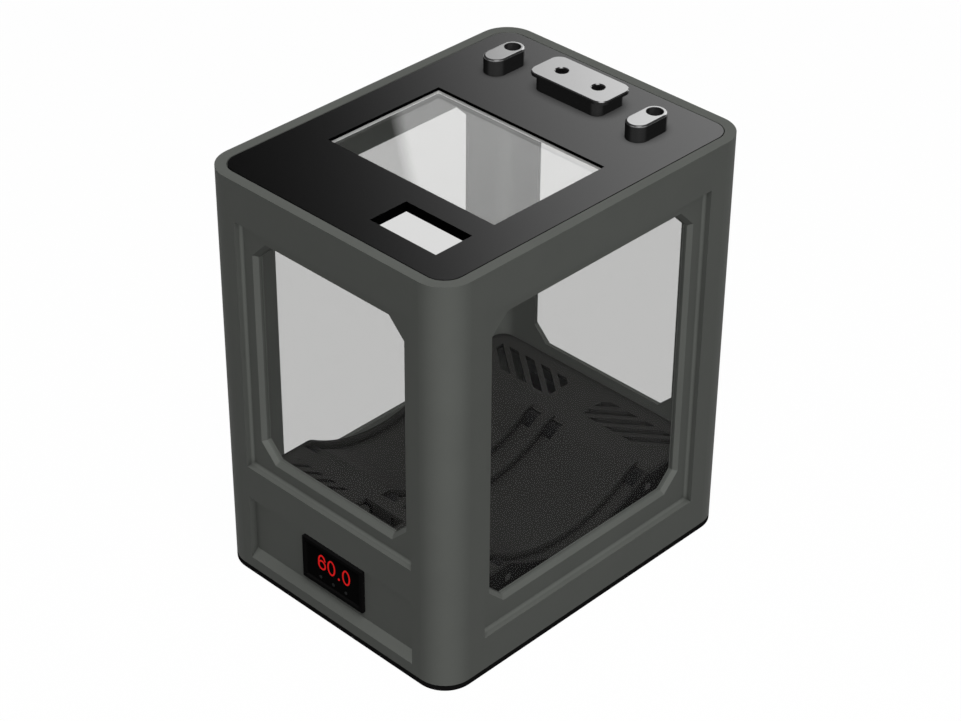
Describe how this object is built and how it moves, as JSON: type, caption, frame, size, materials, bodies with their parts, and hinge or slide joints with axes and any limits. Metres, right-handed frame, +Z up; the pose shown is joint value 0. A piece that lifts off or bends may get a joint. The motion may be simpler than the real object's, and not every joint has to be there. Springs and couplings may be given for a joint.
{
  "type": "filament dryer box",
  "caption": "Tall windowed box with a roller cradle over a heated base, a flush lift-off lid with handle and filament outlets, and a front thermostat; dries filament spools.",
  "frame": {"origin": "centre of the underside of the base plate", "axes": "+Z up, the thermostat side faces -Y, +X to the right seen from the front"},
  "size_m": [0.1956, 0.25, 0.2915],
  "materials": {
    "housing_grey": "matte, fine grain",
    "black_plastic": "smooth, glossy",
    "dark_metal": "dark anodised, polished",
    "tray_plastic": "matte",
    "clear_pane": "clear acrylic",
    "bezel_plastic": "satin",
    "dark_lens": "dark, clear-coated",
    "red_digits": "lit",
    "button_plastic": "satin",
    "roller_rubber": "matte",
    "steel": "brushed",
    "heater_aluminium": "plain",
    "duct_sheet": "plain sheet",
    "fan_plastic": "satin",
    "board": "solder mask",
    "cable_rubber": "satin"
  },
  "bodies": {
    "base": {"base_plate": "black_plastic", "base_screws": "steel", "control_board": "board", "display_case": "bezel_plastic", "display_digits": "red_digits", "display_lens": "dark_lens", "duct_screws": "steel", "fan_frame": "fan_plastic", "heater_core": "heater_aluminium", "heater_duct": "duct_sheet", "housing": "housing_grey", "jack_nut": "steel", "pane_front": "clear_pane", "pane_left": "clear_pane", "pane_rear": "clear_pane", "pane_right": "clear_pane", "power_jack": "steel", "roller_pins": "steel", "temperature_sensor": "steel", "tray": "tray_plastic", "wiring": "cable_rubber"},
    "lid": {"lid": "black_plastic", "lid_pane": "clear_pane", "handle": "dark_metal", "handle_screws": "steel", "outlet_left": "dark_metal", "outlet_right": "dark_metal"},
    "fan_rotor": {"fan_rotor": "fan_plastic"},
    "button_left": {"button_left": "button_plastic"},
    "button_middle": {"button_middle": "button_plastic"},
    "button_right": {"button_right": "button_plastic"},
    "roller_left_inner_front": {"roller_left_inner_front": "roller_rubber"},
    "roller_left_inner_rear": {"roller_left_inner_rear": "roller_rubber"},
    "roller_left_outer_front": {"roller_left_outer_front": "roller_rubber"},
    "roller_left_outer_rear": {"roller_left_outer_rear": "roller_rubber"},
    "roller_right_inner_front": {"roller_right_inner_front": "roller_rubber"},
    "roller_right_inner_rear": {"roller_right_inner_rear": "roller_rubber"},
    "roller_right_outer_front": {"roller_right_outer_front": "roller_rubber"},
    "roller_right_outer_rear": {"roller_right_outer_rear": "roller_rubber"}
  },
  "joints": [
    {"name": "lid_lift", "type": "slide", "parent": "base", "child": "lid", "axis": [0, 0, 1], "range_m": [0, 0.15]},
    {"name": "roller_left_inner_front_spin", "type": "hinge", "parent": "base", "child": "roller_left_inner_front", "pos_m": [-0.0091, -0.0621, 0.05], "axis": [1, 0, 0], "continuous": true},
    {"name": "roller_left_inner_rear_spin", "type": "hinge", "parent": "base", "child": "roller_left_inner_rear", "pos_m": [-0.0091, 0.0621, 0.05], "axis": [1, 0, 0], "continuous": true},
    {"name": "roller_left_outer_front_spin", "type": "hinge", "parent": "base", "child": "roller_left_outer_front", "pos_m": [-0.0788, -0.0621, 0.05], "axis": [1, 0, 0], "continuous": true},
    {"name": "roller_left_outer_rear_spin", "type": "hinge", "parent": "base", "child": "roller_left_outer_rear", "pos_m": [-0.0788, 0.0621, 0.05], "axis": [1, 0, 0], "continuous": true},
    {"name": "roller_right_inner_front_spin", "type": "hinge", "parent": "base", "child": "roller_right_inner_front", "pos_m": [0.0091, -0.0621, 0.05], "axis": [1, 0, 0], "continuous": true},
    {"name": "roller_right_inner_rear_spin", "type": "hinge", "parent": "base", "child": "roller_right_inner_rear", "pos_m": [0.0091, 0.0621, 0.05], "axis": [1, 0, 0], "continuous": true},
    {"name": "roller_right_outer_front_spin", "type": "hinge", "parent": "base", "child": "roller_right_outer_front", "pos_m": [0.0788, -0.0621, 0.05], "axis": [1, 0, 0], "continuous": true},
    {"name": "roller_right_outer_rear_spin", "type": "hinge", "parent": "base", "child": "roller_right_outer_rear", "pos_m": [0.0788, 0.0621, 0.05], "axis": [1, 0, 0], "continuous": true},
    {"name": "fan_spin", "type": "hinge", "parent": "base", "child": "fan_rotor", "pos_m": [-0.0235, 0.0935, 0.0228], "axis": [1, 0, 0], "continuous": true},
    {"name": "button_left_press", "type": "slide", "parent": "base", "child": "button_left", "axis": [0, 1, 0], "range_m": [0, 0.0005], "stiffness_N_per_m": 1500},
    {"name": "button_middle_press", "type": "slide", "parent": "base", "child": "button_middle", "axis": [0, 1, 0], "range_m": [0, 0.0005], "stiffness_N_per_m": 1500},
    {"name": "button_right_press", "type": "slide", "parent": "base", "child": "button_right", "axis": [0, 1, 0], "range_m": [0, 0.0005], "stiffness_N_per_m": 1500}
  ]
}
